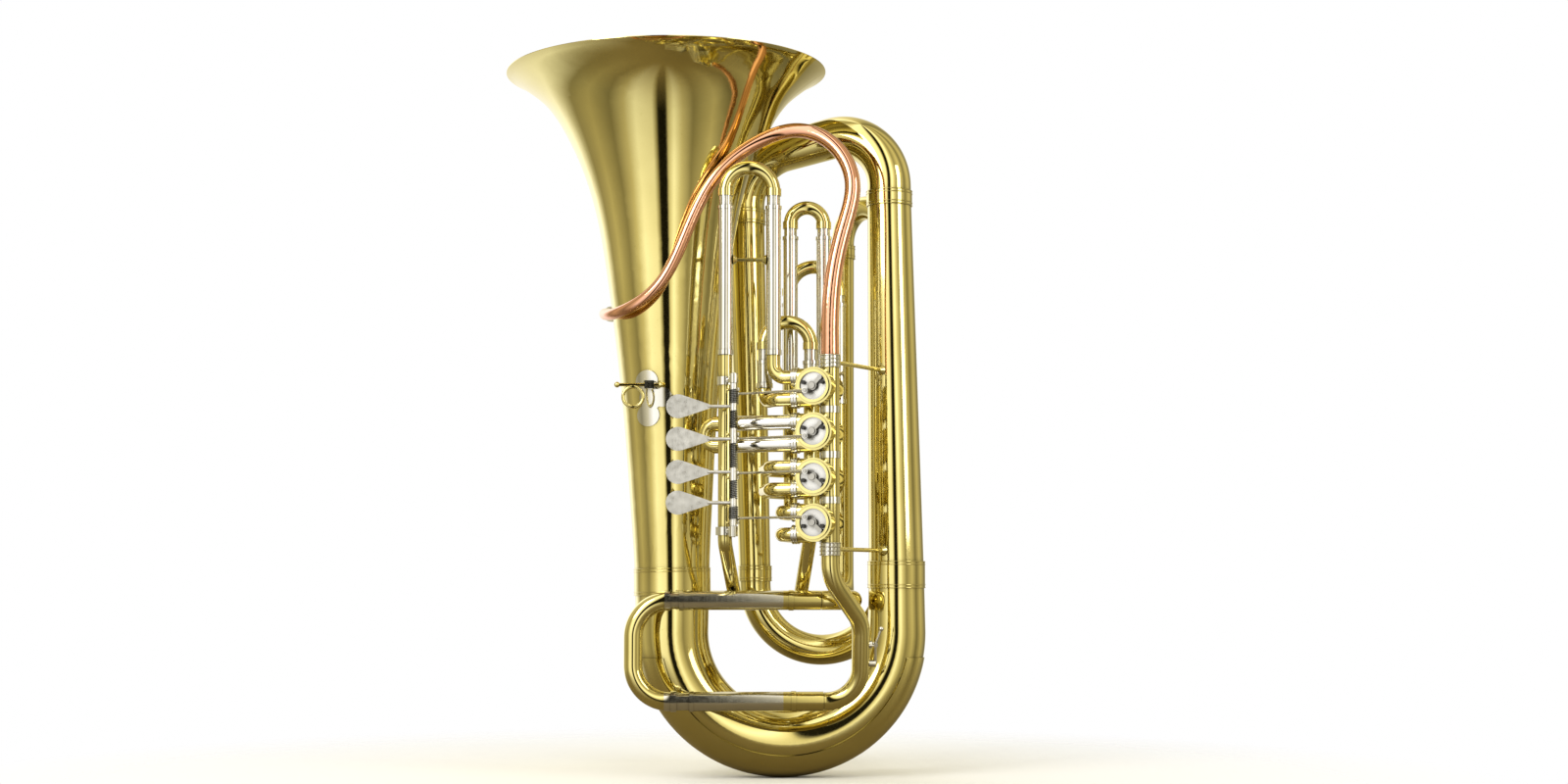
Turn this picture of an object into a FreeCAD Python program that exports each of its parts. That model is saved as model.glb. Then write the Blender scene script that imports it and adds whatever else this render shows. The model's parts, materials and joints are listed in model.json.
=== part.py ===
import FreeCAD, Part
import math
import os

# A four-valve rotary tuba, standing upright on its bottom bow. Millimetres.
# X runs along the bows, -Y is the side that carries the valves, +Z points to the bell's mouth.
# The origin is the middle of the base of the whole instrument's box.

V = FreeCAD.Vector
UP = V(0, 0, 1)

# ---- overall placing ----
SHIFT = V(-0.30, 0, -0.54)           # brings the middle of the base to the origin

# ---- bell ----
BELL_FOOT = V(-50, 0, 246)          # where the bell meets the bottom bow
BELL_LEAN = 0.9                     # degrees the bell leans away from the branches
BELL_WALL = 1.0
BELL_OUTLINE = [(0, 47), (100, 52), (200, 58.5), (300, 68), (400, 80), (470, 92), (530, 110),
                (580, 133), (617, 159), (637, 183), (651, 207)]   # height above the foot, radius
RIM_WIRE = 2.6                      # radius of the rim, which is rolled over a wire

# ---- the big bore: bows and branches ----
WALL = 1.0
END_GAP = 0.6                       # a tube ends this far short of the middle of its ferrule
LEAN_GAP = 1.4                      # the same under the leaning bell
BOW_RADIUS = 142                    # centre line of the bottom bow
BOW_CENTRE = V(92, 0, 185.2)
BOW_TOP_R = 47                      # tube radius at the bell end
BOW_END_R = 35                      # tube radius at the branch end
GUARD = 1.5                         # thickness of the guard plate under the bow
BRANCH_FOOT = V(234, 0, 254)
BRANCH_HEAD = V(227, 0, 736)
BRANCH_HEAD_R = 28
TOP_BOW_HIGH = 836                  # corner of the top bow over the main branch
TOP_BOW_LOW = 800                   # and over the second branch
TOP_BOW_BEND = 70
SECOND_Y = 90                       # depth of the second row of branches
SECOND_HEAD = V(43, SECOND_Y, 726)
SECOND_HEAD_R = 25
SECOND_FOOT = V(56, SECOND_Y, 256)
SECOND_FOOT_R = 20.5
THIRD_X = 230
THIRD_FOOT_R = 18.5
THIRD_HEAD_Z = 690
THIRD_HEAD_R = 16.5
FOURTH = V(176, 158, 690)
FOURTH_HEAD_R = 15

# ---- valves ----
VALVE_TURN = 20                     # degrees the valves face to the left of straight ahead
VALVE_MIDDLE = V(130.6, -128.7, 0)
VALVE_HEIGHTS = [480.4, 425.4, 370.4, 315.4]
VALVE_PITCH = 55.0
CASING_R = 23
CASING_HALF = 25                    # half the casing's length
ROTOR_R = 20
ROTOR_HALF = 18
RUNNING = 0.05                      # radial clearance of every running fit
PORT = 13.5                         # distance of each air way from the rotor's axis
BORE = 8                            # radius of the air way
STUB_R = 10.4
STUB_END = 30                       # how far the two loop stubs reach from the rotor's axis
LINE_R = 11.5                       # outside radius of the main line at the valves
SPINDLE_R = 3
PIN_REACH = 9                       # rotor axis to the link pin
PIN_R = 1.5
ARM_LOW = 27.7                      # the stop arm's two faces, measured along the rotor axis
ARM_HIGH = 30.5
ROD_LEVEL = 38                      # the link rod's middle, measured along the rotor axis

# ---- levers ----
AXLE = V(26, -140, 0)
AXLE_R = 2.5
AXLE_LOW = 298
AXLE_HIGH = 497
BARREL_R = 4.2
LEVER_REACH = 32                    # axle to the ball of the link rod
LEVER_STROKE = 22.94                # degrees
PADDLE_HEIGHTS = [456, 416.5, 376.5, 339.5]
PADDLE_X = -41                      # middle of the finger plate
PADDLE_R = 14.5
NECK_X = -5
NECK_R = 3
BALL_R = 3.4
ROD_R = 1.5

# ---- valve slides and their loops ----
TUBE_R = 8.6                        # loop tubing
SLEEVE_R = 9.2                      # outer slide tube
INNER_R = 8.1                       # inner slide tube
TUBE_WALL = 0.9
BEND = 16                           # usual bend radius of the loops
SLIDE_Y = {"first": -108.5, "fourth": -45, "third": -15, "short": -78}
LEGS_X = {"first": (16, 75.1), "fourth": (98, 140), "third": (98, 160), "short": (65, 122)}
SLEEVE_TOP = {"first": 707, "fourth": 679, "third": 598, "short": 518}
SLEEVE_FOOT = {"first": 522, "fourth": 500, "third": 470, "short": 484}
BOW_Z = {"first": 725.5, "fourth": 695, "third": 614, "short": 538}
SECOND_SLEEVE = 118                 # second valve's slide, distances from its rotor axis
SECOND_BOW = 134

# ---- where the loops turn behind the valves ----
LOOP_TURN_X = 66                    # third valve's loops turn here towards the back
LOOP_TURN_Y = -50
LOOP_BACK_X = 92                    # and its lower loop turns here towards its right leg
LOOP_BACK_Y = -12
RETURN_LEFT = 30                    # the first valve's return loop, which dips under the others
RETURN_RIGHT = 110
RETURN_Y = -30
RETURN_Z = 220
RETURN_DROP = 292                   # where it leaves the left leg
RETURN_RISE = 305                   # and where it meets the right one

# ---- main tuning slide ----
MAIN_Y = -66
MAIN_HIGH = 222
MAIN_LOW = 98
MAIN_SLEEVE_R = 12
MAIN_INNER_R = 10.9
MAIN_BOW_LEFT = -96.5               # centre line of the slide's bow
MAIN_BOW_BEND = 45
MAIN_BOW_END = (-51, -43)           # upper and lower end of the bow
MAIN_SLEEVE_LEFT = (-40, -27)
MAIN_SLEEVE_RIGHT = (135, 138)
MAIN_DEPTH = 62                     # how far right the inner tubes reach

parts = {}


# ---- helpers ----
def circle_at(point, along, radius, reference):
    """A circle square to `along`, its seam turned towards `reference`."""
    side = reference - along * reference.dot(along)
    side.normalize()
    turn = FreeCAD.Rotation(side, along.cross(side), along, "ZXY")
    ring = Part.makeCircle(radius)
    ring.Placement = FreeCAD.Placement(point, turn)
    return Part.Wire(ring), side


def line(start, end):
    return Part.LineSegment(start, end).toShape()


def route(corners, bend):
    """Straight runs between the corners, each corner rounded to the bend radius."""
    edges = []
    at = corners[0]
    for corner, after in zip(corners[1:], corners[2:]):
        come = (corner - at).normalize()
        go = (after - corner).normalize()
        half = math.acos(max(-1, min(1, come.dot(go)))) / 2
        reach = bend * math.tan(half)
        first = corner - come * reach
        last = corner + go * reach
        centre_side = (go - come).normalize()
        middle = corner + centre_side * (bend / math.cos(half) - bend)
        if (first - at).Length > 1e-6:
            edges.append(line(at, first))
        edges.append(Part.Arc(first, middle, last).toShape())
        at = last
    edges.append(line(at, corners[-1]))
    return edges


def spline(points):
    """A smooth line through the points."""
    curve = Part.BSplineCurve()
    curve.interpolate(points)
    return [curve.toShape()]


def taper_rings(edges, radius_at, spacing):
    """For each piece of the path, evenly spaced circles; radius_at takes a share of the length."""
    total = sum(edge.Length for edge in edges)
    done = 0.0
    reference = V(0.31, 0.88, 0.36)
    pieces = []
    last = None
    for edge in edges:
        straight = edge.Curve.TypeId == "Part::GeomLine"
        steps = 1 if straight else max(2, round(edge.Length / spacing))
        rings = [last] if last else []
        for step in range(len(rings), steps + 1):
            length = edge.Length * step / steps
            at = edge.LastParameter if step == steps else edge.getParameterByLength(length)
            radius = radius_at((done + length) / total)
            ring, reference = circle_at(edge.valueAt(at), edge.tangentAt(at), radius, reference)
            rings.append(ring)
        last = rings[-1]
        done += edge.Length
        pieces.append(rings)
    return pieces


def skin(pieces):
    """The faces that join each run of circles."""
    return [face for rings in pieces for face in Part.makeLoft(rings, False, False).Faces]


def closed_solid(faces):
    shell = Part.Shell(faces)
    shell.sewShape()
    solid = Part.Solid(shell)
    if solid.Volume < 0:
        solid.reverse()
    return solid


def filled_taper(edges, radius_at, spacing=12.0):
    """A solid round bar along the path."""
    pieces = taper_rings(edges, radius_at, spacing)
    return closed_solid(skin(pieces) + [Part.Face(pieces[0][0]), Part.Face(pieces[-1][-1])])


def even(first, last):
    """A radius that changes evenly from first to last."""
    return lambda share: first + (last - first) * share


def tapered_tube(edges, radius_at, wall=WALL, spacing=12.0):
    """A round tube along the path: an outer and an inner skin joined by a ring at each end."""
    outer = taper_rings(edges, radius_at, spacing)
    inner = taper_rings(edges, lambda share: radius_at(share) - wall, spacing)
    faces = skin(outer) + skin(inner)
    for piece, end in ((0, 0), (-1, -1)):
        disc = Part.Face(outer[piece][end])
        faces += disc.cut(Part.Face(inner[piece][end])).Faces
    return closed_solid(faces)


def rod(edges, radius):
    """A solid round bar of one radius along the path."""
    first = edges[0]
    at = first.FirstParameter
    ring = Part.Wire(Part.makeCircle(radius, first.valueAt(at), first.tangentAt(at)))
    return Part.Wire(edges).makePipeShell([ring], True, False)


def tube(edges, radius, wall=TUBE_WALL):
    return rod(edges, radius).cut(rod(edges, radius - wall))


def cylinder(radius, start, end):
    return Part.makeCylinder(radius, (end - start).Length, start, end - start)


def sleeve(outer, inner, start, end):
    return cylinder(outer, start, end).cut(cylinder(inner, start, end))


def ferrule(bore, length, middle, along, thick=0.9, bead=0.6):
    """A joining sleeve with a double bead at each end."""
    along = V(along).normalize()
    half = along * (length / 2)
    ring = cylinder(bore + thick, middle - half, middle + half)
    for side in (-1, 1):
        for inset in (bead, 7 * bead):
            at = middle + along * (side * (length / 2 - inset))
            ring = ring.fuse(Part.makeTorus(bore + thick, bead, at, along))
    return ring.cut(cylinder(bore, middle - half * 2, middle + half * 2))


def box_between(low, high):
    size = high - low
    return Part.makeBox(size.x, size.y, size.z, low)


def together(shapes):
    return Part.makeCompound(shapes)


# ---- bell ----
def lean(shape):
    return shape.rotate(BELL_FOOT, V(0, 1, 0), -BELL_LEAN)


def bell_curve(offset):
    """The bell's outline, moved inwards by the offset."""
    curve = Part.BSplineCurve()
    curve.interpolate(Points=[V(r, 0, h) for h, r in BELL_OUTLINE], InitialTangent=V(2, 0, 100),
                      FinalTangent=V(30, 0, 9))
    if offset == 0:
        return curve
    points = []
    for height, radius in BELL_OUTLINE:
        along = curve.tangent(curve.parameter(V(radius, 0, height)))[0]
        points.append(V(radius - along.z * offset, 0, height + along.x * offset))
    inner = Part.BSplineCurve()
    inner.interpolate(points)
    return inner


def bell_solid(outer, inner):
    """The wall between two outlines, its edge rolled over a wire, turned round the bell's axis."""
    a = outer.toShape()
    b = inner.toShape()
    outer_foot = outer.value(outer.FirstParameter)
    outer_rim = outer.value(outer.LastParameter)
    inner_foot = inner.value(inner.FirstParameter)
    inner_rim = inner.value(inner.LastParameter)
    wire = Part.Wire([a, line(outer_rim, inner_rim), b, line(inner_foot, outer_foot)])
    rolled_at = V(BELL_OUTLINE[-1][1] + 0.6, 0, BELL_OUTLINE[-1][0])
    rolled = Part.Face(Part.Wire(Part.makeCircle(RIM_WIRE, rolled_at, V(0, 1, 0))))
    section = Part.Face(wire).fuse(rolled).removeSplitter().Faces[0]
    solid = section.revolve(V(0, 0, 0), UP, 360)
    solid.translate(BELL_FOOT)
    lean(solid)
    return solid


def filled_bell(grow=0.0):
    """The bell as a full body, for shaping what is soldered against it."""
    curve = bell_curve(-grow)
    foot = curve.value(curve.FirstParameter)
    rim = curve.value(curve.LastParameter)
    wire = Part.Wire([curve.toShape(), line(rim, V(0, 0, rim.z)),
                      line(V(0, 0, rim.z), V(0, 0, foot.z)), line(V(0, 0, foot.z), foot)])
    solid = Part.Face(wire).revolve(V(0, 0, 0), UP, 360)
    solid.translate(BELL_FOOT)
    lean(solid)
    return solid


def build_bell():
    parts["bell"] = bell_solid(bell_curve(0), bell_curve(BELL_WALL))
    axis = V(-math.sin(math.radians(BELL_LEAN)), 0, math.cos(math.radians(BELL_LEAN)))
    parts["bell_ferrule"] = ferrule(BELL_OUTLINE[0][1] + 0.5, 34, BELL_FOOT - V(0, 0, 1), axis)


# ---- bows and branches ----
def bow_path():
    start = BELL_FOOT - V(0, 0, LEAN_GAP)
    left = BOW_CENTRE - V(BOW_RADIUS, 0, 0)
    right = BOW_CENTRE + V(BOW_RADIUS, 0, 0)
    bottom = BOW_CENTRE - V(0, 0, BOW_RADIUS)
    return [line(start, left), Part.Arc(left, bottom, right).toShape(),
            line(right, V(right.x, 0, BRANCH_FOOT.z - END_GAP))]


def build_bottom_bow():
    size = even(BOW_TOP_R, BOW_END_R)
    parts["bottom_bow"] = tapered_tube(bow_path(), size, WALL, 20)
    shell = filled_taper(bow_path(), lambda s: size(s) + 0.05 + GUARD, 20)
    shell = shell.cut(filled_taper(bow_path(), lambda s: size(s) + 0.05, 20))
    inside = Part.makeCylinder(BOW_RADIUS + 14, 200, BOW_CENTRE - V(0, 100, 0), V(0, 1, 0))
    low = box_between(V(-200, -100, -50), V(400, 100, 150))
    parts["bow_guard"] = shell.common(low).cut(inside)


def top_bow_path():
    start = BRANCH_HEAD + V(0, 0, END_GAP)
    end = SECOND_HEAD + V(0, 0, END_GAP)
    first_corner = V(start.x, start.y, TOP_BOW_HIGH)
    second_corner = V(end.x, end.y, TOP_BOW_LOW)
    return route([start, first_corner, second_corner, end], TOP_BOW_BEND)


def build_branches():
    main = [line(BRANCH_FOOT + V(0, 0, END_GAP), BRANCH_HEAD - V(0, 0, END_GAP))]
    parts["main_branch"] = tapered_tube(main, even(BOW_END_R, BRANCH_HEAD_R), WALL, 500)
    parts["top_bow"] = tapered_tube(top_bow_path(), even(BRANCH_HEAD_R, SECOND_HEAD_R))
    second = [line(SECOND_HEAD - V(0, 0, END_GAP), SECOND_FOOT + V(0, 0, END_GAP))]
    parts["second_branch"] = tapered_tube(second, even(SECOND_HEAD_R, SECOND_FOOT_R), WALL, 500)
    right = V(THIRD_X, SECOND_Y, SECOND_FOOT.z)
    middle = (SECOND_FOOT + right) * 0.5
    reach = V(THIRD_X - SECOND_FOOT.x, 0, 0) * 0.5
    bow = [line(SECOND_FOOT - V(0, 0, END_GAP), SECOND_FOOT - V(0, 0, 12)),
           Part.Arc(middle - reach - V(0, 0, 12), middle - V(0, 0, 12 + reach.x),
                    middle + reach - V(0, 0, 12)).toShape(),
           line(right - V(0, 0, 12), right - V(0, 0, END_GAP))]
    parts["second_bow"] = tapered_tube(bow, even(SECOND_FOOT_R, THIRD_FOOT_R), WALL)
    head = V(THIRD_X, SECOND_Y, THIRD_HEAD_Z)
    third = [line(right + V(0, 0, END_GAP), head - V(0, 0, END_GAP))]
    parts["third_branch"] = tapered_tube(third, even(THIRD_FOOT_R, THIRD_HEAD_R), WALL, 500)
    half = (FOURTH - head) * 0.5
    rise = V(0, 0, 12)
    apex = head + half + rise + V(0, 0, half.Length)
    crook = [line(head + V(0, 0, END_GAP), head + rise),
             Part.Arc(head + rise, apex, FOURTH + rise).toShape(),
             line(FOURTH + rise, FOURTH + V(0, 0, END_GAP))]
    parts["second_top_bow"] = tapered_tube(crook, even(THIRD_HEAD_R, FOURTH_HEAD_R), WALL)
    low = V(FOURTH.x, FOURTH.y, MAIN_HIGH)
    front = V(FOURTH.x, MAIN_Y, MAIN_HIGH)
    join = V(MAIN_SLEEVE_RIGHT[0] + END_GAP, MAIN_Y, MAIN_HIGH)
    fourth = route([FOURTH - V(0, 0, END_GAP), low, front, join], 38)
    parts["fourth_branch"] = tapered_tube(fourth, even(FOURTH_HEAD_R, MAIN_SLEEVE_R), WALL)
    rings = [ferrule(BOW_END_R + 0.5, 34, BRANCH_FOOT, UP),
             ferrule(BRANCH_HEAD_R + 0.5, 20, BRANCH_HEAD, UP),
             ferrule(SECOND_HEAD_R + 0.5, 20, SECOND_HEAD, UP),
             ferrule(SECOND_FOOT_R + 0.5, 20, SECOND_FOOT, UP),
             ferrule(THIRD_FOOT_R + 0.5, 20, right, UP),
             ferrule(THIRD_HEAD_R + 0.5, 18, head, UP),
             ferrule(FOURTH_HEAD_R + 0.5, 18, FOURTH, UP)]
    parts["branch_ferrules"] = together(rings)


# ---- valves ----
FACE = V(-math.sin(math.radians(VALVE_TURN)), -math.cos(math.radians(VALVE_TURN)), 0)
RIGHT = V(math.cos(math.radians(VALVE_TURN)), -math.sin(math.radians(VALVE_TURN)), 0)


def at_valve(height, right, up, out):
    """A point given from the middle of a valve: to its right, up, and out towards its front."""
    return VALVE_MIDDLE + RIGHT * right + FACE * out + V(0, 0, height + up)


def valve_bar(height, radius, low, high):
    return cylinder(radius, at_valve(height, 0, 0, low), at_valve(height, 0, 0, high))


def line_point(z):
    """A point on the main line, which runs straight down through the valves."""
    return at_valve(z, PORT, 0, 0)


def build_casing(height):
    half = VALVE_PITCH / 2 - END_GAP
    casing = valve_bar(height, CASING_R, -CASING_HALF, CASING_HALF)
    casing = casing.fuse(cylinder(LINE_R, line_point(height - half), line_point(height + half)))
    for up in (-PORT, PORT):
        stub = cylinder(STUB_R, at_valve(height, -8, up, 0), at_valve(height, -STUB_END, up, 0))
        casing = casing.fuse(stub)
    casing = casing.cut(valve_bar(height, ROTOR_R + RUNNING, -CASING_HALF, CASING_HALF))
    casing = casing.cut(cylinder(BORE, line_point(height - half), line_point(height + half)))
    for up in (-PORT, PORT):
        start = at_valve(height, 0, up, 0)
        casing = casing.cut(cylinder(BORE, start, at_valve(height, -STUB_END, up, 0)))
    return casing


def build_rotor(height):
    rotor = valve_bar(height, ROTOR_R, -ROTOR_HALF, ROTOR_HALF)
    for side in (-PORT, PORT):
        way = cylinder(BORE, at_valve(height, side, -30, 0), at_valve(height, side, 30, 0))
        rotor = rotor.cut(way)
    return rotor.fuse(valve_bar(height, SPINDLE_R, -22, ARM_HIGH))


def pin_side(number):
    """The two upper valves carry the link pin below their axis, the two lower ones above it."""
    return -1 if number < 2 else 1


def build_stop_arm(number, height):
    """Arm from the spindle to the link pin, with a short tail that meets the bumpers."""
    side = pin_side(number)
    step = PIN_REACH * math.sin(math.radians(45))
    arm = valve_bar(height, 5.5, ARM_LOW, ARM_HIGH)
    outline = []
    for right, up in ((-step, side * step), (step * 1.5, -side * step * 1.5)):
        end_low = at_valve(height, right, up, ARM_LOW)
        end_high = at_valve(height, right, up, ARM_HIGH)
        arm = arm.fuse(cylinder(2.6, end_low, end_high))
        outline.append(end_low)
    along = (outline[1] - outline[0]).normalize()
    across = along.cross(FACE) * 2.2
    corners = [outline[0] + across, outline[1] + across, outline[1] - across, outline[0] - across]
    web = Part.Face(Part.makePolygon(corners + corners[:1])).extrude(FACE * (ARM_HIGH - ARM_LOW))
    arm = arm.fuse(web)
    arm = arm.cut(valve_bar(height, SPINDLE_R, ARM_LOW - 1, ARM_HIGH + 1))
    pin = cylinder(PIN_R, at_valve(height, -step, side * step, ARM_HIGH - 1),
                   at_valve(height, -step, side * step, ROD_LEVEL + 2.6))
    head = cylinder(PIN_R + 1, at_valve(height, -step, side * step, ROD_LEVEL + 2.1),
                    at_valve(height, -step, side * step, ROD_LEVEL + 3.2))
    nut = valve_bar(height, 3.8, ARM_HIGH, ARM_HIGH + 1.8)
    return arm.fuse(pin).fuse(head).fuse(nut)


def build_valves():
    plates = []
    caps = []
    rings = []
    bumpers = []
    for number, height in enumerate(VALVE_HEIGHTS):
        name = str(number + 1)
        parts["valve_casing_" + name] = build_casing(height)
        parts["valve_rotor_" + name] = build_rotor(height)
        parts["stop_arm_" + name] = build_stop_arm(number, height)
        hole = valve_bar(height, SPINDLE_R + RUNNING, -22.5, CASING_HALF + 1)
        front = valve_bar(height, ROTOR_R + RUNNING, ROTOR_HALF + RUNNING, CASING_HALF)
        back = valve_bar(height, ROTOR_R + RUNNING, -CASING_HALF, -ROTOR_HALF - RUNNING)
        plates += [front.cut(hole), back.cut(hole)]
        cap = valve_bar(height, CASING_R - 1, -CASING_HALF - 3, -CASING_HALF)
        caps.append(cap.fuse(valve_bar(height, 9, -CASING_HALF - 4.5, -CASING_HALF - 3)))
        ring = valve_bar(height, ROTOR_R, CASING_HALF, CASING_HALF + 2.5)
        rings.append(ring.cut(valve_bar(height, ROTOR_R - 3.2, CASING_HALF, CASING_HALF + 2.5)))
        for degrees in (20, 160):
            right = 12.6 * math.cos(math.radians(degrees))
            up = -pin_side(number) * 12.6 * math.sin(math.radians(degrees))
            bumpers.append(cylinder(2.4, at_valve(height, right, up, CASING_HALF),
                                    at_valve(height, right, up, ARM_HIGH)))
    parts["bearing_plates"] = together(plates)
    parts["valve_caps"] = together(caps + rings)
    parts["stop_bumpers"] = together(bumpers)


def build_line_ferrules():
    rings = []
    for above in VALVE_HEIGHTS[:-1]:
        low = line_point(above - VALVE_PITCH / 2 - 4)
        rings.append(sleeve(LINE_R + 1.2, LINE_R + 0.05, low, low + V(0, 0, 8)))
    for z in (VALVE_HEIGHTS[0] + VALVE_PITCH / 2 + 4, VALVE_HEIGHTS[-1] - VALVE_PITCH / 2 - 4):
        rings.append(ferrule(LINE_R + 0.05, 16, line_point(z), UP, 1.0, 0.8))
    for height in VALVE_HEIGHTS:
        for up in (-PORT, PORT):
            middle = at_valve(height, -STUB_END, up, 0)
            rings.append(ferrule(STUB_R + 0.05, 8, middle, RIGHT, 0.8, 0.6))
    parts["line_ferrules"] = together(rings)


# ---- mouthpipe ----
def mouthpipe_points():
    """Round the bell from the player's side, over the slides and down into the first valve."""
    return [V(-129, 42, 590), V(-137, -10, 584), V(-117, -62, 580), V(-72, -90, 605),
            V(-36, -95, 668), V(3, -90, 746), V(55, -87, 791), V(105, -96, 805),
            V(152, -112, 781), V(172, -124, 733), V(162, -131, 680), V(149, -133.5, 625),
            V(144, -133.3, 575), V(143.3, -133.3, 540)]


def mouthpipe_path():
    points = mouthpipe_points() + [line_point(VALVE_HEIGHTS[0] + VALVE_PITCH / 2 + END_GAP)]
    return spline(points)


def mouthpipe_size(share):
    """Thin at the receiver, widening to the bore of the valves."""
    return 6.9 + (LINE_R - 6.9) * share ** 1.4


def build_mouthpipe():
    parts["mouthpipe"] = tapered_tube(mouthpipe_path(), mouthpipe_size, 0.9, 14)
    start = mouthpipe_points()[0]
    path = mouthpipe_path()[0]
    back = path.tangentAt(path.FirstParameter) * -1
    shank = cylinder(9.0, start - back * 8, start + back * 44)
    shank = shank.fuse(cylinder(10.4, start + back * 38, start + back * 44))
    shank = shank.fuse(cylinder(9.9, start - back * 8, start - back * 3))
    shank = shank.cut(cylinder(7.4, start - back * 9, start + back * 1))
    shank = shank.cut(cylinder(6.4, start, start + back * 45))
    parts["mouthpiece_receiver"] = shank


# ---- levers and link rods ----
def axle_point(z):
    return V(AXLE.x, AXLE.y, z)


def ball_point(number):
    """Where the link rod's ball sits beside the lever at rest."""
    rest = math.radians(VALVE_TURN - LEVER_STROKE / 2)
    step = PIN_REACH * math.sin(math.radians(45))
    z = VALVE_HEIGHTS[number] + pin_side(number) * step
    return axle_point(z) + V(math.sin(rest), math.cos(rest), 0) * LEVER_REACH


def finger_plate(z):
    """A teardrop plate that narrows to the lever's neck."""
    span = NECK_X - PADDLE_X
    lean_back = math.asin((PADDLE_R - NECK_R) / span)
    big_top = V(PADDLE_X + PADDLE_R * math.sin(lean_back), 0, z + PADDLE_R * math.cos(lean_back))
    small_top = V(NECK_X + NECK_R * math.sin(lean_back), 0, z + NECK_R * math.cos(lean_back))
    flip = V(0, 0, 2 * z)
    big_low = V(big_top.x, 0, flip.z - big_top.z)
    small_low = V(small_top.x, 0, flip.z - small_top.z)
    left = Part.Arc(big_low, V(PADDLE_X - PADDLE_R, 0, z), big_top).toShape()
    right = Part.Arc(small_top, V(NECK_X + NECK_R, 0, z), small_low).toShape()
    wire = Part.Wire([left, line(big_top, small_top), right, line(small_low, big_low)])
    plate = Part.Face(wire).extrude(V(0, 2.6, 0))
    plate.translate(V(0, AXLE.y - 1.3, 0))
    return plate


def lever_span(number):
    """The lowest and highest point of a lever's barrel."""
    ball = ball_point(number).z
    arm = ball - pin_side(number) * (BALL_R + 2)
    low = min(PADDLE_HEIGHTS[number], arm) - 5
    high = max(PADDLE_HEIGHTS[number], arm) + 5
    return low, high


def build_lever(number):
    z = PADDLE_HEIGHTS[number]
    low, high = lever_span(number)
    lever = cylinder(BARREL_R, axle_point(low), axle_point(high))
    lever = lever.fuse(finger_plate(z))
    lever = lever.fuse(cylinder(2.2, V(NECK_X, AXLE.y, z), V(AXLE.x, AXLE.y, z)))
    ball = ball_point(number)
    level = ball.z - pin_side(number) * (BALL_R + 2)
    tip = V(ball.x, ball.y, level)
    lever = lever.fuse(cylinder(1.9, axle_point(level), tip))
    pad_low = V(tip.x, tip.y, min(level - pin_side(number) * 1.9, level + pin_side(number) * 1.6))
    lever = lever.fuse(cylinder(3.2, pad_low, pad_low + V(0, 0, 3.5)))
    return lever.cut(cylinder(AXLE_R + RUNNING, axle_point(AXLE_LOW), axle_point(AXLE_HIGH)))


def build_link(number):
    """A thin rod: an eye on the stop arm's pin, a ball beside the lever."""
    step = PIN_REACH * math.sin(math.radians(45))
    side = pin_side(number)
    height = VALVE_HEIGHTS[number]
    pin = at_valve(height, -step, side * step, ROD_LEVEL)
    ball = ball_point(number)
    link = cylinder(ROD_R, ball, pin).fuse(Part.makeSphere(BALL_R, ball))
    link = link.fuse(cylinder(3.6, pin - FACE * 1.8, pin + FACE * 1.8))
    along = (pin - ball).normalize()
    link = link.fuse(cylinder(2.0, pin - along * 16, pin - along * 3))
    link = link.cut(cylinder(PIN_R + RUNNING, pin - FACE * 4, pin + FACE * 4))
    return link


def lever_bracket(z, low, high):
    """A clamp round the tall slide's leg that carries one end of the axle."""
    leg = V(LEGS_X["first"][0], SLIDE_Y["first"], z)
    clamp = cylinder(TUBE_R + 2.6, V(leg.x, leg.y, z - 5), V(leg.x, leg.y, z + 5))
    bridge = cylinder(3.2, leg, axle_point(z))
    eye = cylinder(5.4, axle_point(low), axle_point(high))
    bracket = clamp.fuse(bridge).fuse(eye)
    bracket = bracket.cut(cylinder(TUBE_R + 0.02, leg - V(0, 0, 20), leg + V(0, 0, 20)))
    return bracket.cut(cylinder(AXLE_R, axle_point(AXLE_LOW), axle_point(AXLE_HIGH)))


def coil(low, high, turns):
    """A return spring wound loosely round the axle."""
    wire = 0.7
    pitch = (high - low - 2 * wire) / turns
    helix = Part.makeHelix(pitch, high - low - 2 * wire, 3.6)
    ring = Part.Wire(Part.makeCircle(wire, V(3.6, 0, 0), V(0, 1, pitch / (2 * math.pi * 3.6))))
    spring = Part.Wire(helix).makePipeShell([ring], True, True)
    spring.translate(axle_point(low + wire))
    return spring


def build_levers():
    for number in range(len(VALVE_HEIGHTS)):
        name = str(number + 1)
        parts["lever_" + name] = build_lever(number)
        parts["link_rod_" + name] = build_link(number)
    parts["lever_axle"] = cylinder(AXLE_R, axle_point(AXLE_LOW), axle_point(AXLE_HIGH))
    top = lever_span(0)[1] + 0.3
    foot = lever_span(3)[0] - 0.3
    brackets = [lever_bracket(top + 5, top, AXLE_HIGH - 1),
                lever_bracket(foot - 5, AXLE_LOW + 1, foot)]
    parts["lever_brackets"] = together(brackets)
    springs = []
    for upper, lower in ((0, 1), (1, 2), (2, 3)):
        low = lever_span(lower)[1] + 0.4
        high = lever_span(upper)[0] - 0.4
        springs.append(coil(low, high, 6))
    parts["lever_springs"] = together(springs)


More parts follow.
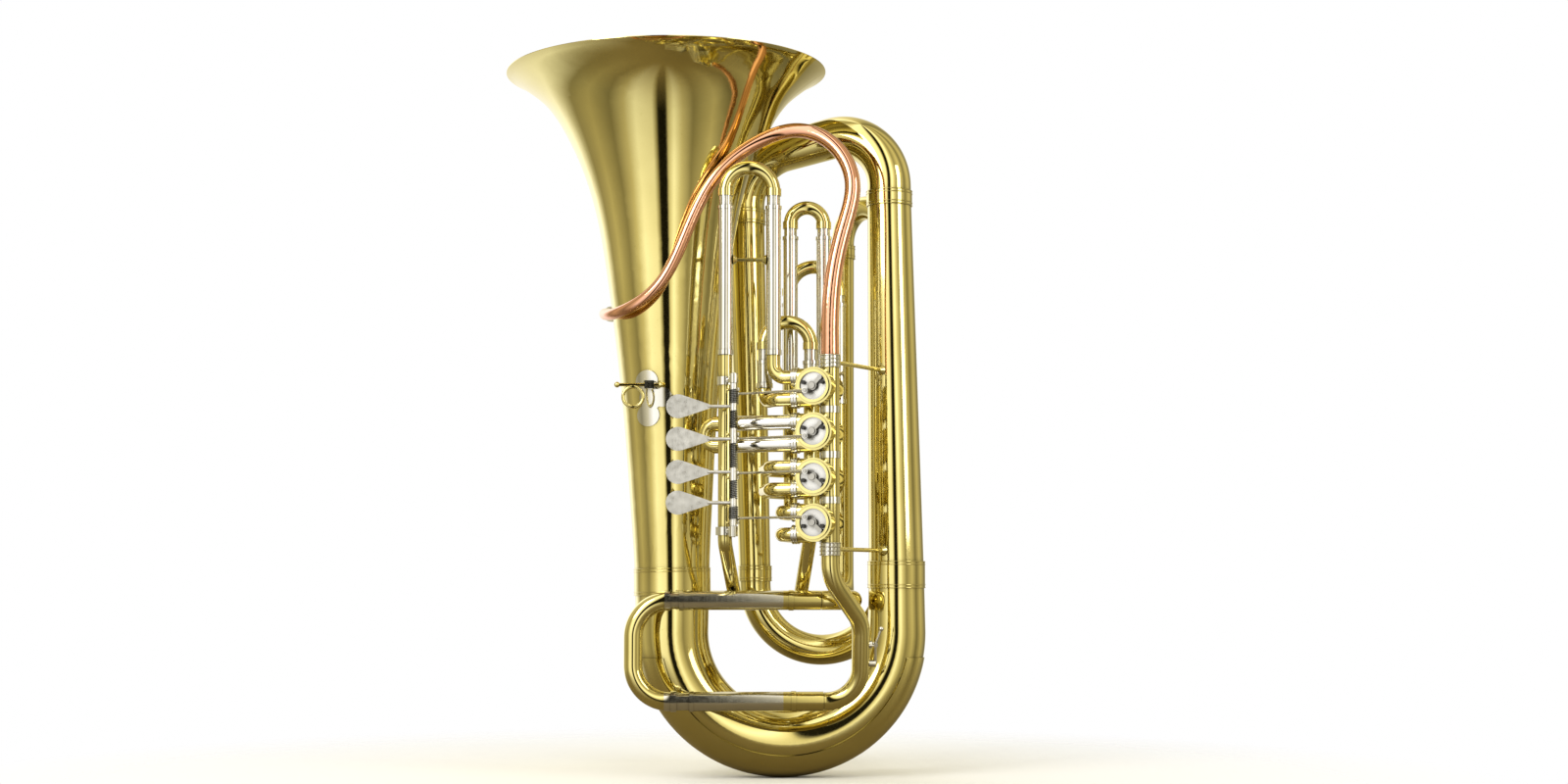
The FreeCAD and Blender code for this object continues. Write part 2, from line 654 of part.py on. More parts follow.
# ---- valve slides ----
def moving_slide(name, depth):
    """A U of tubing: a bow with collars and two inner legs that go `depth` into the sleeves."""
    left, right = LEGS_X[name]
    y = SLIDE_Y[name]
    z = BOW_Z[name]
    half = (right - left) / 2
    middle = V((left + right) / 2, y, z)
    arc = Part.Arc(V(left, y, z), middle + V(0, 0, half), V(right, y, z)).toShape()
    bow = rod([line(V(left, y, z - 6), V(left, y, z)), arc,
               line(V(right, y, z), V(right, y, z - 6))], TUBE_R)
    bottom = SLEEVE_TOP[name] - depth
    for x in (left, right):
        bow = bow.fuse(cylinder(INNER_R, V(x, y, bottom), V(x, y, z)))
        bow = bow.fuse(cylinder(TUBE_R + 1, V(x, y, z - 6), V(x, y, z + 3)))
    hollow = rod([line(V(left, y, bottom), V(left, y, z)), arc,
                  line(V(right, y, z), V(right, y, bottom))], INNER_R - TUBE_WALL)
    return bow.cut(hollow)


def static_sleeves(name):
    """The two outer tubes of a slide, each with a collar at its mouth."""
    found = []
    y = SLIDE_Y[name]
    top = SLEEVE_TOP[name]
    for x in LEGS_X[name]:
        pipe = cylinder(SLEEVE_R, V(x, y, SLEEVE_FOOT[name]), V(x, y, top))
        pipe = pipe.fuse(cylinder(SLEEVE_R + 0.9, V(x, y, top - 4), V(x, y, top)))
        pipe = pipe.fuse(cylinder(SLEEVE_R + 0.9, V(x, y, SLEEVE_FOOT[name]),
                                  V(x, y, SLEEVE_FOOT[name] + 6)))
        found.append(pipe.cut(cylinder(INNER_R + RUNNING, V(x, y, 0), V(x, y, top))))
    return found


def second_slide():
    """The second valve's slide lies level, pointing away from the valve."""
    height = VALVE_HEIGHTS[1]
    upper = at_valve(height, -SECOND_BOW, PORT, 0)
    lower = at_valve(height, -SECOND_BOW, -PORT, 0)
    tip = at_valve(height, -SECOND_BOW - PORT, 0, 0)
    arc = Part.Arc(upper, tip, lower).toShape()
    inner = 72
    bow = rod([line(upper + RIGHT * 6, upper), arc, line(lower, lower + RIGHT * 6)], TUBE_R)
    for end in (upper, lower):
        bow = bow.fuse(cylinder(INNER_R, end, end + RIGHT * (SECOND_BOW - inner)))
        bow = bow.fuse(cylinder(TUBE_R + 1, end - RIGHT * 2, end + RIGHT * 6))
    far = RIGHT * (SECOND_BOW - inner)
    hollow = rod([line(upper + far, upper), arc, line(lower, lower + far)], INNER_R - TUBE_WALL)
    return bow.cut(hollow)


def second_sleeves():
    height = VALVE_HEIGHTS[1]
    found = []
    for up in (-PORT, PORT):
        start = at_valve(height, -STUB_END - END_GAP, up, 0)
        end = at_valve(height, -SECOND_SLEEVE, up, 0)
        pipe = cylinder(SLEEVE_R, start, end)
        pipe = pipe.fuse(cylinder(SLEEVE_R + 0.9, end, end + RIGHT * 4))
        found.append(pipe.cut(cylinder(INNER_R + RUNNING, start, end)))
    return found


def build_slides():
    parts["first_slide"] = moving_slide("first", 120)
    parts["third_slide"] = moving_slide("third", 90)
    parts["fourth_slide"] = moving_slide("fourth", 110)
    parts["short_slide"] = moving_slide("short", 30)
    parts["second_slide"] = second_slide()
    sleeves = []
    for name in ("first", "third", "fourth", "short"):
        sleeves += static_sleeves(name)
    parts["slide_sleeves"] = together(sleeves + second_sleeves())


# ---- loops between the valves and their slides ----
def port_end(valve, up, reach=STUB_END + END_GAP):
    return at_valve(VALVE_HEIGHTS[valve], -reach, up * PORT, 0)


def leg_foot(name, side):
    return V(LEGS_X[name][side], SLIDE_Y[name], SLEEVE_FOOT[name] - END_GAP)


def build_loops():
    first_high = [port_end(0, 1), port_end(0, 1, 59), leg_foot("first", 1)]
    z = port_end(0, -1).z
    short_left = leg_foot("short", 0)
    first_low = [port_end(0, -1), port_end(0, -1, 58), V(short_left.x, short_left.y, z),
                 short_left]
    down = leg_foot("first", 0)
    up = leg_foot("short", 1)
    first_return = [down, V(down.x, down.y, RETURN_DROP),
                    V(RETURN_LEFT, RETURN_Y, RETURN_Z), V(RETURN_RIGHT, RETURN_Y, RETURN_Z),
                    V(up.x, up.y, RETURN_RISE), up]
    z = port_end(2, 1).z
    left = leg_foot("third", 0)
    third_high = [port_end(2, 1), port_end(2, 1, 62), V(LOOP_TURN_X, LOOP_TURN_Y, z),
                  V(left.x, left.y, z), left]
    z = port_end(2, -1).z
    right = leg_foot("third", 1)
    third_low = [port_end(2, -1), port_end(2, -1, 62), V(LOOP_TURN_X, LOOP_TURN_Y, z), V(LOOP_BACK_X, LOOP_BACK_Y, z),
                 V(right.x, right.y, z), right]
    z = port_end(3, 1).z
    left = leg_foot("fourth", 0)
    fourth_high = [port_end(3, 1), port_end(3, 1, 50), V(left.x, left.y, z), left]
    z = port_end(3, -1).z
    right = leg_foot("fourth", 1)
    fourth_low = [port_end(3, -1), port_end(3, -1, 50), V(left.x, left.y, z),
                  V(right.x, right.y, z), right]
    parts["first_loop"] = together([tube(route(path, BEND), TUBE_R)
                                    for path in (first_high, first_low, first_return)])
    parts["third_loop"] = together([tube(route(path, BEND), TUBE_R)
                                    for path in (third_high, third_low)])
    parts["fourth_loop"] = together([tube(route(path, BEND), TUBE_R)
                                     for path in (fourth_high, fourth_low)])


# ---- main tuning slide and the tube that feeds it ----
def main_point(x, z):
    return V(x, MAIN_Y, z)


def build_main_slide():
    upper, lower = MAIN_BOW_END
    path = route([main_point(upper, MAIN_HIGH), main_point(MAIN_BOW_LEFT, MAIN_HIGH),
                  main_point(MAIN_BOW_LEFT, MAIN_LOW), main_point(lower, MAIN_LOW)],
                 MAIN_BOW_BEND)
    bow = rod(path, MAIN_SLEEVE_R - 0.4)
    legs = []
    sleeves = []
    heights = (MAIN_HIGH, MAIN_LOW)
    for z, end, left, right in zip(heights, MAIN_BOW_END, MAIN_SLEEVE_LEFT, MAIN_SLEEVE_RIGHT):
        collar = cylinder(MAIN_SLEEVE_R + 0.9, main_point(end - 7, z), main_point(end, z))
        bow = bow.fuse(collar)
        legs.append(sleeve(MAIN_INNER_R, MAIN_INNER_R - 1, main_point(end - 0.5, z),
                           main_point(MAIN_DEPTH, z)))
        pipe = cylinder(MAIN_SLEEVE_R, main_point(left, z), main_point(right, z))
        pipe = pipe.fuse(cylinder(MAIN_SLEEVE_R + 0.9, main_point(left, z),
                                  main_point(left + 5, z)))
        pipe = pipe.fuse(cylinder(MAIN_SLEEVE_R + 0.7, main_point(right - 40, z),
                                  main_point(right - 34, z)))
        sleeves.append(pipe.cut(cylinder(MAIN_INNER_R + RUNNING, main_point(left, z),
                                         main_point(right, z))))
    parts["main_slide_bow"] = bow.cut(rod(path, MAIN_INNER_R + 0.02))
    parts["main_slide_legs"] = together(legs)
    parts["main_slide_sleeves"] = together(sleeves)


LOWER_BEND = V(183, -92, 195)
LOWER_CORNER = V(183, MAIN_Y, MAIN_LOW)
DRAIN_AT = 52                       # from the bend down the lower tube
KEY_HINGE_AT = 28


def lower_path():
    top = line_point(VALVE_HEIGHTS[-1] - VALVE_PITCH / 2 - END_GAP)
    knee = V(top.x, top.y, 250)
    return route([top, knee, LOWER_BEND, LOWER_CORNER,
                  main_point(MAIN_SLEEVE_RIGHT[1] + END_GAP, MAIN_LOW)], 42)


def build_lower_tube():
    pipe = tube(lower_path(), LINE_R - 0.3, 1.0)
    along = (LOWER_CORNER - LOWER_BEND).normalize()
    drain = LOWER_BEND + along * DRAIN_AT
    parts["lower_tube"] = pipe.cut(cylinder(1.6, drain, drain + V(30, 0, 0)))


def build_water_key():
    """A sprung lever whose pad closes the drain in the lower tube."""
    along = (LOWER_CORNER - LOWER_BEND).normalize()
    drain = LOWER_BEND + along * DRAIN_AT
    hinge = LOWER_BEND + along * KEY_HINGE_AT + V(LINE_R + 6.5, 0, 0)
    pipe = rod(lower_path(), LINE_R - 0.28)
    nipple = cylinder(4.2, drain, drain + V(LINE_R + 2.6, 0, 0))
    across = along.cross(V(1, 0, 0)).normalize()
    saddle = cylinder(5, LOWER_BEND + along * KEY_HINGE_AT, hinge - V(4.4, 0, 0))
    for side in (-1, 1):
        cheek = hinge + across * (side * 4.4)
        post = cylinder(2.4, cheek - across * 1.0, cheek + across * 1.0)
        foot = LOWER_BEND + along * KEY_HINGE_AT + across * (side * 4.4)
        post = post.fuse(cylinder(1.0, foot, cheek))
        saddle = saddle.fuse(post)
    saddle = saddle.cut(cylinder(1.05, hinge - across * 10, hinge + across * 10))
    nipple = nipple.cut(cylinder(1.6, drain, drain + V(30, 0, 0)))
    parts["water_key_seat"] = together([nipple.cut(pipe), saddle.cut(pipe)])
    pad_at = drain + V(LINE_R + 2.65, 0, 0)
    lever = cylinder(3.0, hinge - across * 3.2, hinge + across * 3.2)
    arm_end = V(pad_at.x + 4.4, drain.y, drain.z)
    lever = lever.fuse(cylinder(1.5, hinge, arm_end))
    lever = lever.fuse(cylinder(4.4, pad_at, pad_at + V(4.4, 0, 0)))
    tail = hinge - along * 20 + V(7, 0, 0)
    lever = lever.fuse(cylinder(1.5, hinge, tail)).fuse(Part.makeSphere(3, tail))
    pin = cylinder(1.0, hinge - across * 5.4, hinge + across * 5.4)
    parts["water_key"] = lever.fuse(pin)


# ---- thumb ring on the bell ----
RING_ROD_Z = 488
RING_ROD_Y = -76
RING_ROD_LEFT = -118
RING_ROD_RIGHT = -64
RING_ROD_R = 2.0
RING_POST_X = -78
PLATE_LOBES = [(-82, 494, 14), (-80, 452, 14), (-62, 474, 12), (-76, 474, 15)]   # x, z, radius


def build_thumb_ring():
    stamp = None
    for x, z, size in PLATE_LOBES:
        lobe = Part.makeCylinder(size, 100, V(x, -100, z), V(0, 1, 0))
        stamp = lobe if stamp is None else stamp.fuse(lobe)
    plate = filled_bell(1.6).cut(filled_bell(0.03)).common(stamp)
    block_at = V(RING_POST_X, RING_ROD_Y, RING_ROD_Z)
    post = cylinder(4.5, block_at + V(0, 36, 0), block_at + V(0, 4, 0))
    post = post.fuse(box_between(block_at - V(6, 6, 5), block_at + V(6, 6, 5)))
    post = post.cut(filled_bell(1.62))
    left = V(RING_ROD_LEFT, RING_ROD_Y, RING_ROD_Z)
    right = V(RING_ROD_RIGHT, RING_ROD_Y, RING_ROD_Z)
    post = post.cut(cylinder(RING_ROD_R + RUNNING, left, right))
    parts["thumb_ring_plate"] = together([plate, post])
    ring = Part.makeTorus(12.5, 2.2, left + V(20, 0, -15), V(0, 1, 0))
    bar = cylinder(RING_ROD_R, left, right)
    ball = Part.makeSphere(3.6, left).fuse(Part.makeSphere(3.2, right))
    parts["thumb_ring"] = bar.fuse(ring).fuse(ball)


# ---- braces ----
SLIDE_BRACE_Z = 640                 # between the legs of the tall slide
LINE_BRACE_Z = (512, 284)           # from the main line's end ferrules to the main branch


def brace(start, end, radius=2.6, plate=6.5):
    """A round strut with a spread foot at each end."""
    along = (end - start).normalize()
    strut = cylinder(radius, start, end)
    for foot, inward in ((start, along), (end, along * -1)):
        strut = strut.fuse(Part.makeCone(plate, radius + 0.4, 5, foot, inward))
    return strut


def build_braces():
    first_left, first_right = LEGS_X["first"]
    y = SLIDE_Y["first"]
    struts = [brace(V(first_left + SLEEVE_R, y, SLIDE_BRACE_Z),
                    V(first_right - SLEEVE_R, y, SLIDE_BRACE_Z))]
    toward = V(86.7, 133.3, 0).normalize()    # level, from the main line to the main branch
    for z in LINE_BRACE_Z:
        start = line_point(z) + toward * (LINE_R + 2.2)
        share = (z - BRANCH_FOOT.z) / (BRANCH_HEAD.z - BRANCH_FOOT.z)
        radius = BOW_END_R + (BRANCH_HEAD_R - BOW_END_R) * share
        x = BRANCH_FOOT.x + (BRANCH_HEAD.x - BRANCH_FOOT.x) * share
        end = V(x, 0, z) - toward * (radius + 0.6)
        struts.append(brace(start, end))
    parts["braces"] = together(struts)


def main():
    build_bell()
    build_bottom_bow()
    build_branches()
    build_valves()
    build_line_ferrules()
    build_mouthpipe()
    build_levers()
    build_slides()
    build_loops()
    build_main_slide()
    build_lower_tube()
    build_water_key()
    build_thumb_ring()
    build_braces()
    os.makedirs("parts", exist_ok=True)
    for name, shape in parts.items():
        shape.translate(SHIFT)
        shape.exportStep("parts/" + name + ".step")


main()
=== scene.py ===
import json
import math

import bpy
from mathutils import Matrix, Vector


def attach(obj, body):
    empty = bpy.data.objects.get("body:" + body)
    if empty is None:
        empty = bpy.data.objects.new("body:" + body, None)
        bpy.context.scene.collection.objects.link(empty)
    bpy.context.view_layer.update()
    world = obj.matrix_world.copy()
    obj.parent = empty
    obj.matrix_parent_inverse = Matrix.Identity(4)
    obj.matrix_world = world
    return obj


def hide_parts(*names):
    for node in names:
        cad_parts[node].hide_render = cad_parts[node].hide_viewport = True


# The looks of a four-valve rotary tuba: lacquered brass, nickel silver and red brass in soft
# studio light. Metres; +Z up, -Y towards the camera.

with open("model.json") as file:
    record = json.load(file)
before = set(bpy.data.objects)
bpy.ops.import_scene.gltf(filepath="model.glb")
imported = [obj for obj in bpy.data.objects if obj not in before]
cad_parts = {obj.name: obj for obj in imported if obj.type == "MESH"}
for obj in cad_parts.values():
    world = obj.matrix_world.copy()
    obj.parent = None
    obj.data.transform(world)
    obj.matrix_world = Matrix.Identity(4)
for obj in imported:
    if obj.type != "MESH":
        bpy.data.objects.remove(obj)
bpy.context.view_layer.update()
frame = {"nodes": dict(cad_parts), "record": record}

# ---- colours, linear ----
BRASS_DEEP = (0.44, 0.35, 0.085, 1)
BRASS_MID = (0.73, 0.63, 0.25, 1)
NICKEL_DARK = (0.42, 0.40, 0.35, 1)
NICKEL = (0.76, 0.74, 0.67, 1)
RED_DEEP = (0.50, 0.19, 0.085, 1)
RED_MID = (0.84, 0.44, 0.28, 1)
SATIN_DARK = (0.60, 0.59, 0.56, 1)
SATIN = (0.80, 0.79, 0.76, 1)
STEEL_DARK = (0.02, 0.02, 0.02, 1)
STEEL = (0.10, 0.10, 0.095, 1)
FLOOR_PALE = (0.93, 0.93, 0.92, 1)
FLOOR_PAINTED_REFLECTION = (0.20, 0.16, 0.09, 1)   # painted reflection: the floor's colour to all but camera rays, what polished metal sees below it

# pieces made of two metals: the axis along which the metal changes, where it changes, and the
# metals below and above
SPLITS = {
    "first_slide": ("Z", 0.7190, "nickel", "brass"),
    "third_slide": ("Z", 0.6075, "nickel", "brass"),
    "fourth_slide": ("Z", 0.6885, "nickel", "brass"),
    "short_slide": ("Z", 0.5315, "nickel", "brass"),
    "second_slide": ("X", 0.0095, "brass", "nickel"),
    "main_slide_sleeves": ("X", 0.0880, "nickel", "brass"),
    "main_slide_bow": ("X", -0.0585, "brass", "nickel"),
}

# ---- size of the metal's surface detail, in waves per metre ----
DRIFT_SCALE = 9                     # slow changes of tone
FINE_SCALE = 140                    # handling marks
HAIR_SCALE = 60                     # polish marks, drawn out along Z
HAIR_STRETCH = (14, 14, 0.5)
SPOT_SCALE = 300                    # faint tarnish spots
RUBBER_SCALE = 900
CORNER_SHADE_REACH = 0.006                 # how far into a corner the painted shade reaches
BUMP_DEPTH = 0.0006

# ---- return springs on the levers' axle ----
AXLE_AT = (0.0257, -0.140)
SPRINGS = [(0.4292, 0.4500), (0.3813, 0.4105), (0.3443, 0.3656)]     # between the barrels
BARREL_SPRINGS = [(0.4590, 0.4755), (0.3190, 0.3345)]               # round the long barrels
SPRING_R = 0.0043
BARREL_SPRING_R = 0.0053
SPRING_WIRE = 0.0008
SPRING_PITCH = 0.0021
STEPS_A_TURN = 16

# ---- studio ----
# what the metal mirrors all the way round: share of a full turn, brightness. 0.5 is the camera.
PANELS = [(0.0, 0.50), (0.10, 0.95), (0.17, 0.26), (0.23, 0.42), (0.30, 0.22), (0.35, 0.55),
          (0.39, 0.98), (0.45, 0.85), (0.465, 0.30), (0.472, 0.008), (0.502, 0.008),
          (0.508, 0.60), (0.53, 1.05), (0.56, 0.60), (0.60, 0.24), (0.67, 0.50),
          (0.73, 0.16), (0.80, 0.45), (0.90, 0.14), (1.0, 0.50)]
PANEL_POWER = 1.75
FLOOR_RADIUS = 1.6
FLOOR_FADE = (0.25, 1.0)            # the floor fades out between these distances
CAMERA_PLACE = (0.00725, -2.8, 0.2357)
CAMERA_AIM = (0.0910, 0.0, 0.4857)
CAMERA_LENS = 50.6
CAMERA_SENSOR = 36


# ---- node helpers ----
def new_material(name):
    material = bpy.data.materials.new(name)
    material.use_nodes = True
    return material, material.node_tree, material.node_tree.nodes["Principled BSDF"]


def object_place(tree):
    return tree.nodes.new("ShaderNodeTexCoord").outputs["Object"]


def noise(tree, place, scale, detail=4, stretch=(1, 1, 1)):
    mapping = tree.nodes.new("ShaderNodeMapping")
    mapping.inputs["Scale"].default_value = stretch
    tree.links.new(place, mapping.inputs["Vector"])
    texture = tree.nodes.new("ShaderNodeTexNoise")
    texture.inputs["Scale"].default_value = scale
    texture.inputs["Detail"].default_value = detail
    tree.links.new(mapping.outputs["Vector"], texture.inputs["Vector"])
    return texture.outputs["Fac"]


def spread(tree, value, low, high, new_low=0.0, new_high=1.0):
    node = tree.nodes.new("ShaderNodeMapRange")
    node.inputs["From Min"].default_value = low
    node.inputs["From Max"].default_value = high
    node.inputs["To Min"].default_value = new_low
    node.inputs["To Max"].default_value = new_high
    tree.links.new(value, node.inputs["Value"])
    return node.outputs["Result"]


def blend(tree, share, first, second):
    """A colour between two others; each may be a colour or a socket."""
    node = tree.nodes.new("ShaderNodeMix")
    node.data_type = "RGBA"
    tree.links.new(share, node.inputs["Factor"])
    for value, key in ((first, 6), (second, 7)):
        if hasattr(value, "links"):
            tree.links.new(value, node.inputs[key])
        else:
            node.inputs[key].default_value = value
    return node.outputs[2]


def maths(tree, kind, first, second):
    node = tree.nodes.new("ShaderNodeMath")
    node.operation = kind
    for value, socket in ((first, node.inputs[0]), (second, node.inputs[1])):
        if hasattr(value, "links"):
            tree.links.new(value, socket)
        else:
            socket.default_value = value
    return node.outputs[0]


def painted_corner_shade(tree):
    """Painted shade from ambient occlusion: 1 in tight corners, 0 in the open."""
    node = tree.nodes.new("ShaderNodeAmbientOcclusion")
    node.inputs["Distance"].default_value = CORNER_SHADE_REACH
    node.samples = 4
    return spread(tree, node.outputs["AO"], 0.55, 0.95, 1.0, 0.0)


def metal(name, dark, light, rough=0.045, coat=0.35, bump=0.008):
    """Polished metal with drifting tone, hairline polish marks, faint spots and painted shade in
    corners.
    """
    material, tree, shader = new_material(name)
    place = object_place(tree)
    drift = noise(tree, place, DRIFT_SCALE, 3)
    fine = noise(tree, place, FINE_SCALE, 6)
    hair = noise(tree, place, HAIR_SCALE, 2, HAIR_STRETCH)
    spots = spread(tree, noise(tree, place, SPOT_SCALE, 2), 0.68, 0.76)
    tone = spread(tree, drift, 0.3, 0.7, 0.62, 1.0)
    colour = blend(tree, tone, dark, light)
    colour = blend(tree, maths(tree, "MULTIPLY", spots, 0.25), colour, dark)
    # painted shade: corners darkened towards a quarter of the dark colour, from ambient occlusion
    colour = blend(tree, maths(tree, "MULTIPLY", painted_corner_shade(tree), 0.55), colour,
                   tuple(c * 0.25 for c in dark[:3]) + (1,))
    tree.links.new(colour, shader.inputs["Base Color"])
    roughness = maths(tree, "ADD", spread(tree, fine, 0.3, 0.7, rough * 0.75, rough * 1.2),
                      spread(tree, hair, 0.35, 0.7, 0.0, 0.035))
    tree.links.new(roughness, shader.inputs["Roughness"])
    shader.inputs["Metallic"].default_value = 1.0
    shader.inputs["Coat Weight"].default_value = coat
    shader.inputs["Coat Roughness"].default_value = 0.05
    node = tree.nodes.new("ShaderNodeBump")
    node.inputs["Strength"].default_value = bump
    node.inputs["Distance"].default_value = BUMP_DEPTH
    tree.links.new(maths(tree, "ADD", maths(tree, "MULTIPLY", fine, 0.3), drift),
                   node.inputs["Height"])
    tree.links.new(node.outputs["Normal"], shader.inputs["Normal"])
    return material


def rubber():
    material, tree, shader = new_material("bumper_black")
    place = object_place(tree)
    grain = noise(tree, place, RUBBER_SCALE, 4)
    tree.links.new(blend(tree, grain, (0.012, 0.012, 0.012, 1), (0.05, 0.048, 0.045, 1)),
                   shader.inputs["Base Color"])
    tree.links.new(spread(tree, grain, 0, 1, 0.5, 0.8), shader.inputs["Roughness"])
    return material


def two_metals(name, axis, limit, below, above):
    """One metal on each side of a limit along an axis, as a slide's bow and its inner legs."""
    material = bpy.data.materials.new(name)
    material.use_nodes = True
    tree = material.node_tree
    output = tree.nodes["Material Output"]
    tree.nodes.remove(tree.nodes["Principled BSDF"])
    shaders = []
    for source in (below, above):
        shaders.append(copy_shader(tree, source))
    split = tree.nodes.new("ShaderNodeSeparateXYZ")
    tree.links.new(object_place(tree), split.inputs[0])
    share = maths(tree, "GREATER_THAN", split.outputs[axis], limit)
    mix = tree.nodes.new("ShaderNodeMixShader")
    tree.links.new(share, mix.inputs["Fac"])
    tree.links.new(shaders[0], mix.inputs[1])
    tree.links.new(shaders[1], mix.inputs[2])
    tree.links.new(mix.outputs[0], output.inputs["Surface"])
    return material


def copy_shader(tree, source):
    """Copies a material's nodes into this tree and returns its shader output."""
    made = {}
    for node in source.node_tree.nodes:
        if node.bl_idname == "ShaderNodeOutputMaterial":
            continue
        twin = tree.nodes.new(node.bl_idname)
        for key in ("operation", "data_type", "samples"):
            if hasattr(node, key):
                setattr(twin, key, getattr(node, key))
        for old, new in zip(node.inputs, twin.inputs):
            if hasattr(old, "default_value"):
                new.default_value = old.default_value
        made[node.name] = twin
    for link in source.node_tree.links:
        if link.to_node.name in made and link.from_node.name in made:
            start = list(link.from_node.outputs).index(link.from_socket)
            end = list(link.to_node.inputs).index(link.to_socket)
            tree.links.new(made[link.from_node.name].outputs[start],
                           made[link.to_node.name].inputs[end])
    return made["Principled BSDF"].outputs["BSDF"]


# ---- what each piece is made of ----
def paint(materials):
    plain = {
        "yellow_brass": materials["brass"],
        "nickel_silver": materials["nickel"],
        "red_brass": materials["red"],
        "rotor_brass": materials["rotor"],
        "spring_steel": materials["steel"],
        "bumper_rubber": materials["rubber"],
    }
    slots = {row["node"]: row["material_slot"] for row in frame["record"]["subparts"]}
    for name, piece in frame["nodes"].items():
        material = plain[slots[name]]
        if name in SPLITS:
            axis, limit, below, above = SPLITS[name]
            material = two_metals(name + "_metals", axis, limit, materials[below],
                                  materials[above])
        if name.startswith("lever_") and name[-1].isdigit():
            material = materials["satin"]
        if name == "bearing_plates":
            material = materials["turned"]
        if name.startswith("stop_arm"):
            material = materials["arm"]
        piece.data.materials.clear()
        piece.data.materials.append(material)


# ---- return springs ----
def coil(name, low, high, radius):
    """A close-wound spring round the axle."""
    turns = (high - low) / SPRING_PITCH
    steps = int(turns * STEPS_A_TURN)
    curve = bpy.data.curves.new(name, "CURVE")
    curve.dimensions = "3D"
    curve.bevel_depth = SPRING_WIRE
    curve.bevel_resolution = 2
    curve.use_fill_caps = True
    strand = curve.splines.new("POLY")
    strand.points.add(steps)
    for step, point in enumerate(strand.points):
        angle = 2 * math.pi * turns * step / steps
        point.co = (AXLE_AT[0] + radius * math.cos(angle), AXLE_AT[1] + radius * math.sin(angle),
                    low + (high - low) * step / steps, 1)
    spring = bpy.data.objects.new(name, curve)
    bpy.context.collection.objects.link(spring)
    spring.data.materials.append(materials["steel"])
    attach(spring, "horn")
    return spring


def build_springs():
    for number, (low, high) in enumerate(SPRINGS):
        spring = coil("return_spring_%d" % (number + 1), low, high, SPRING_R)
        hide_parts("lever_springs")
    for number, (low, high) in enumerate(BARREL_SPRINGS):
        coil("barrel_spring_%d" % (number + 1), low, high, BARREL_SPRING_R)


# ---- studio ----
def build_world():
    """White to the camera; to the metal, bright panels and warm gaps round a dark camera side."""
    world = bpy.data.worlds.new("studio")
    bpy.context.scene.world = world
    world.use_nodes = True
    tree = world.node_tree
    tree.nodes.clear()
    output = tree.nodes.new("ShaderNodeOutputWorld")
    seen = tree.nodes.new("ShaderNodeBackground")
    seen.inputs["Color"].default_value = (1, 1, 1, 1)
    seen.inputs["Strength"].default_value = 1.0
    mirrored = tree.nodes.new("ShaderNodeBackground")
    split = tree.nodes.new("ShaderNodeSeparateXYZ")
    tree.links.new(tree.nodes.new("ShaderNodeTexCoord").outputs["Generated"], split.inputs[0])
    towards = maths(tree, "MULTIPLY", split.outputs["Y"], -1)
    turn = maths(tree, "ARCTAN2", split.outputs["X"], towards)
    share = spread(tree, turn, -math.pi, math.pi)
    ramp = tree.nodes.new("ShaderNodeValToRGB")
    while len(ramp.color_ramp.elements) < len(PANELS):
        ramp.color_ramp.elements.new(0.5)
    for element, (at, level) in zip(ramp.color_ramp.elements, PANELS):
        element.position = at
        warm = max(0.0, min(1.0, (0.95 - level) / 0.5))
        element.color = (level, level * (1 - 0.10 * warm), level * (1 - 0.42 * warm), 1)
    tree.links.new(share, ramp.inputs["Fac"])
    lift = spread(tree, split.outputs["Z"], -0.7, 0.4, 0.62, 1.15)
    tree.links.new(ramp.outputs["Color"], mirrored.inputs["Color"])
    tree.links.new(maths(tree, "MULTIPLY", lift, PANEL_POWER), mirrored.inputs["Strength"])
    path = tree.nodes.new("ShaderNodeLightPath")
    mix = tree.nodes.new("ShaderNodeMixShader")
    tree.links.new(path.outputs["Is Camera Ray"], mix.inputs["Fac"])
    tree.links.new(mirrored.outputs[0], mix.inputs[1])
    tree.links.new(seen.outputs[0], mix.inputs[2])
    tree.links.new(mix.outputs[0], output.inputs["Surface"])


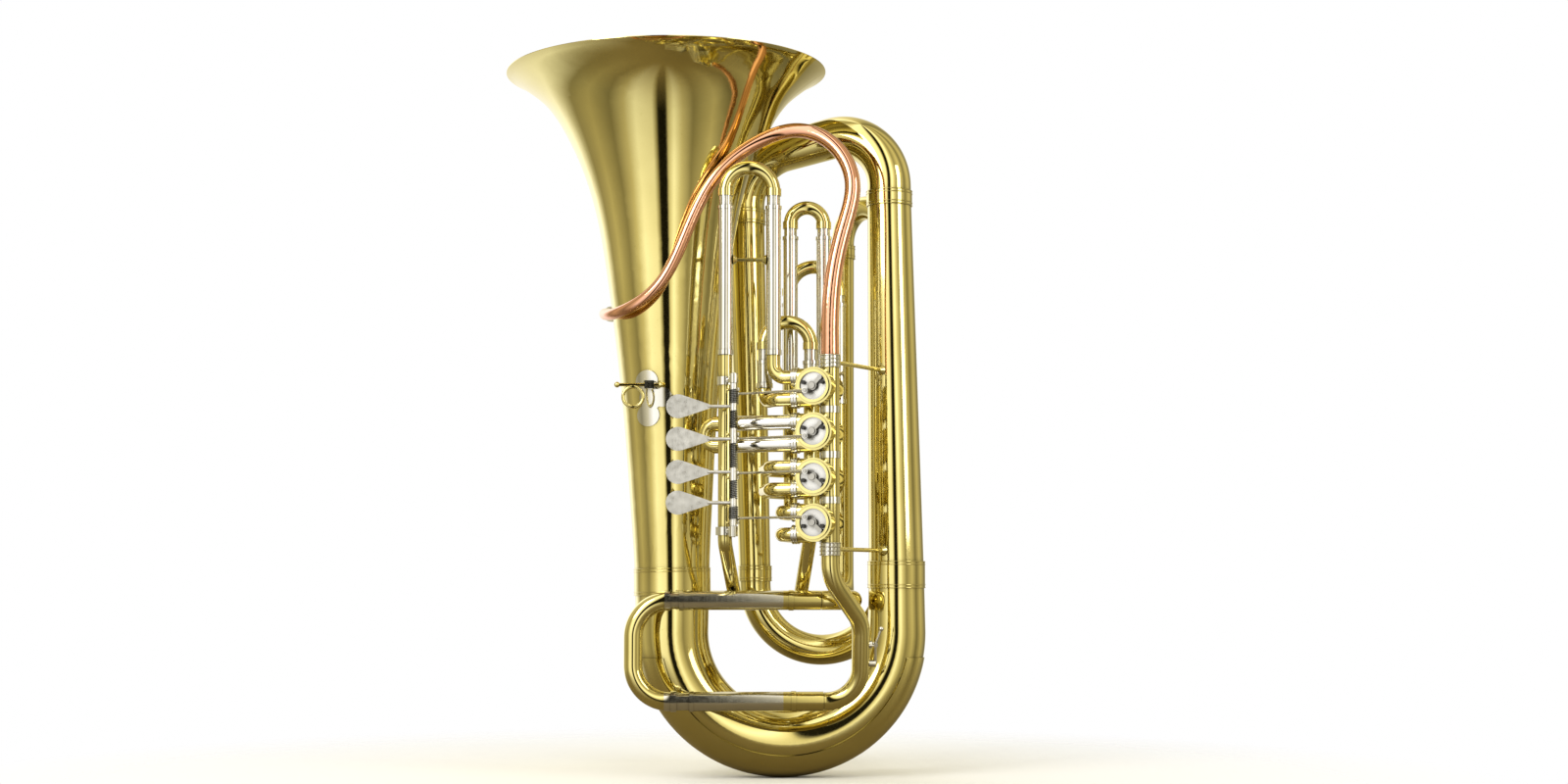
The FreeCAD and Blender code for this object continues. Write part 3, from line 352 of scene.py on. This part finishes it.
def build_floor():
    """A pale disc that fades out into the background; to all but camera rays it is dark and warm, a
    painted reflection in the metal.
    """
    bpy.ops.mesh.primitive_circle_add(vertices=96, radius=FLOOR_RADIUS, fill_type="NGON")
    floor = bpy.context.object
    floor.name = "floor"
    material, tree, shader = new_material("floor_pale")
    seen = tree.nodes.new("ShaderNodeLightPath").outputs["Is Camera Ray"]
    # painted reflection: pale to the camera, dark and warm in the metal's reflections
    tree.links.new(blend(tree, seen, FLOOR_PAINTED_REFLECTION, FLOOR_PALE), shader.inputs["Base Color"])
    shader.inputs["Roughness"].default_value = 0.9
    place = object_place(tree)
    length = tree.nodes.new("ShaderNodeVectorMath")
    length.operation = "LENGTH"
    tree.links.new(place, length.inputs[0])
    fade = spread(tree, length.outputs["Value"], *FLOOR_FADE, 1.0, 0.0)
    tree.links.new(fade, shader.inputs["Alpha"])
    floor.data.materials.append(material)


def area_light(name, place, aim, size, power):
    data = bpy.data.lights.new(name, "AREA")
    data.shape = "RECTANGLE"
    data.size, data.size_y = size
    data.energy = power
    lamp = bpy.data.objects.new(name, data)
    bpy.context.collection.objects.link(lamp)
    lamp.location = place
    lamp.rotation_euler = (Vector(aim) - Vector(place)).to_track_quat("-Z", "Y").to_euler()


def build_camera():
    data = bpy.data.cameras.new("camera")
    camera = bpy.data.objects.new("camera", data)
    bpy.context.collection.objects.link(camera)
    place = Vector(CAMERA_PLACE)
    aim = Vector(CAMERA_AIM)
    camera.location = place
    camera.rotation_euler = (aim - place).to_track_quat("-Z", "Y").to_euler()
    data.lens = CAMERA_LENS
    data.sensor_width = CAMERA_SENSOR
    bpy.context.scene.camera = camera


materials = {
    "brass": metal("lacquered_brass", BRASS_DEEP, BRASS_MID),
    "nickel": metal("nickel_silver", NICKEL_DARK, NICKEL, 0.08, 0.2),
    "red": metal("red_brass", RED_DEEP, RED_MID),
    "rotor": metal("rotor_brass", BRASS_DEEP, BRASS_MID, 0.3, 0.0),
    "steel": metal("spring_steel", STEEL_DARK, STEEL, 0.3, 0.0),
    "satin": metal("satin_silver", SATIN_DARK, SATIN, 0.34, 0.1, 0.002),
    "turned": metal("turned_plate", NICKEL_DARK, SATIN_DARK, 0.26, 0.0, 0.002),
    "arm": metal("dark_arm", STEEL, NICKEL_DARK, 0.2, 0.1),
    "rubber": rubber(),
}
paint(materials)
build_springs()
build_world()
build_floor()
area_light("key", (-1.6, -1.8, 1.8), (0, 0, 0.45), (0.9, 1.6), 30)
area_light("fill", (1.9, -1.5, 1.2), (0, 0, 0.4), (0.7, 1.6), 14)
build_camera()
bpy.context.scene.view_settings.view_transform = "Standard"
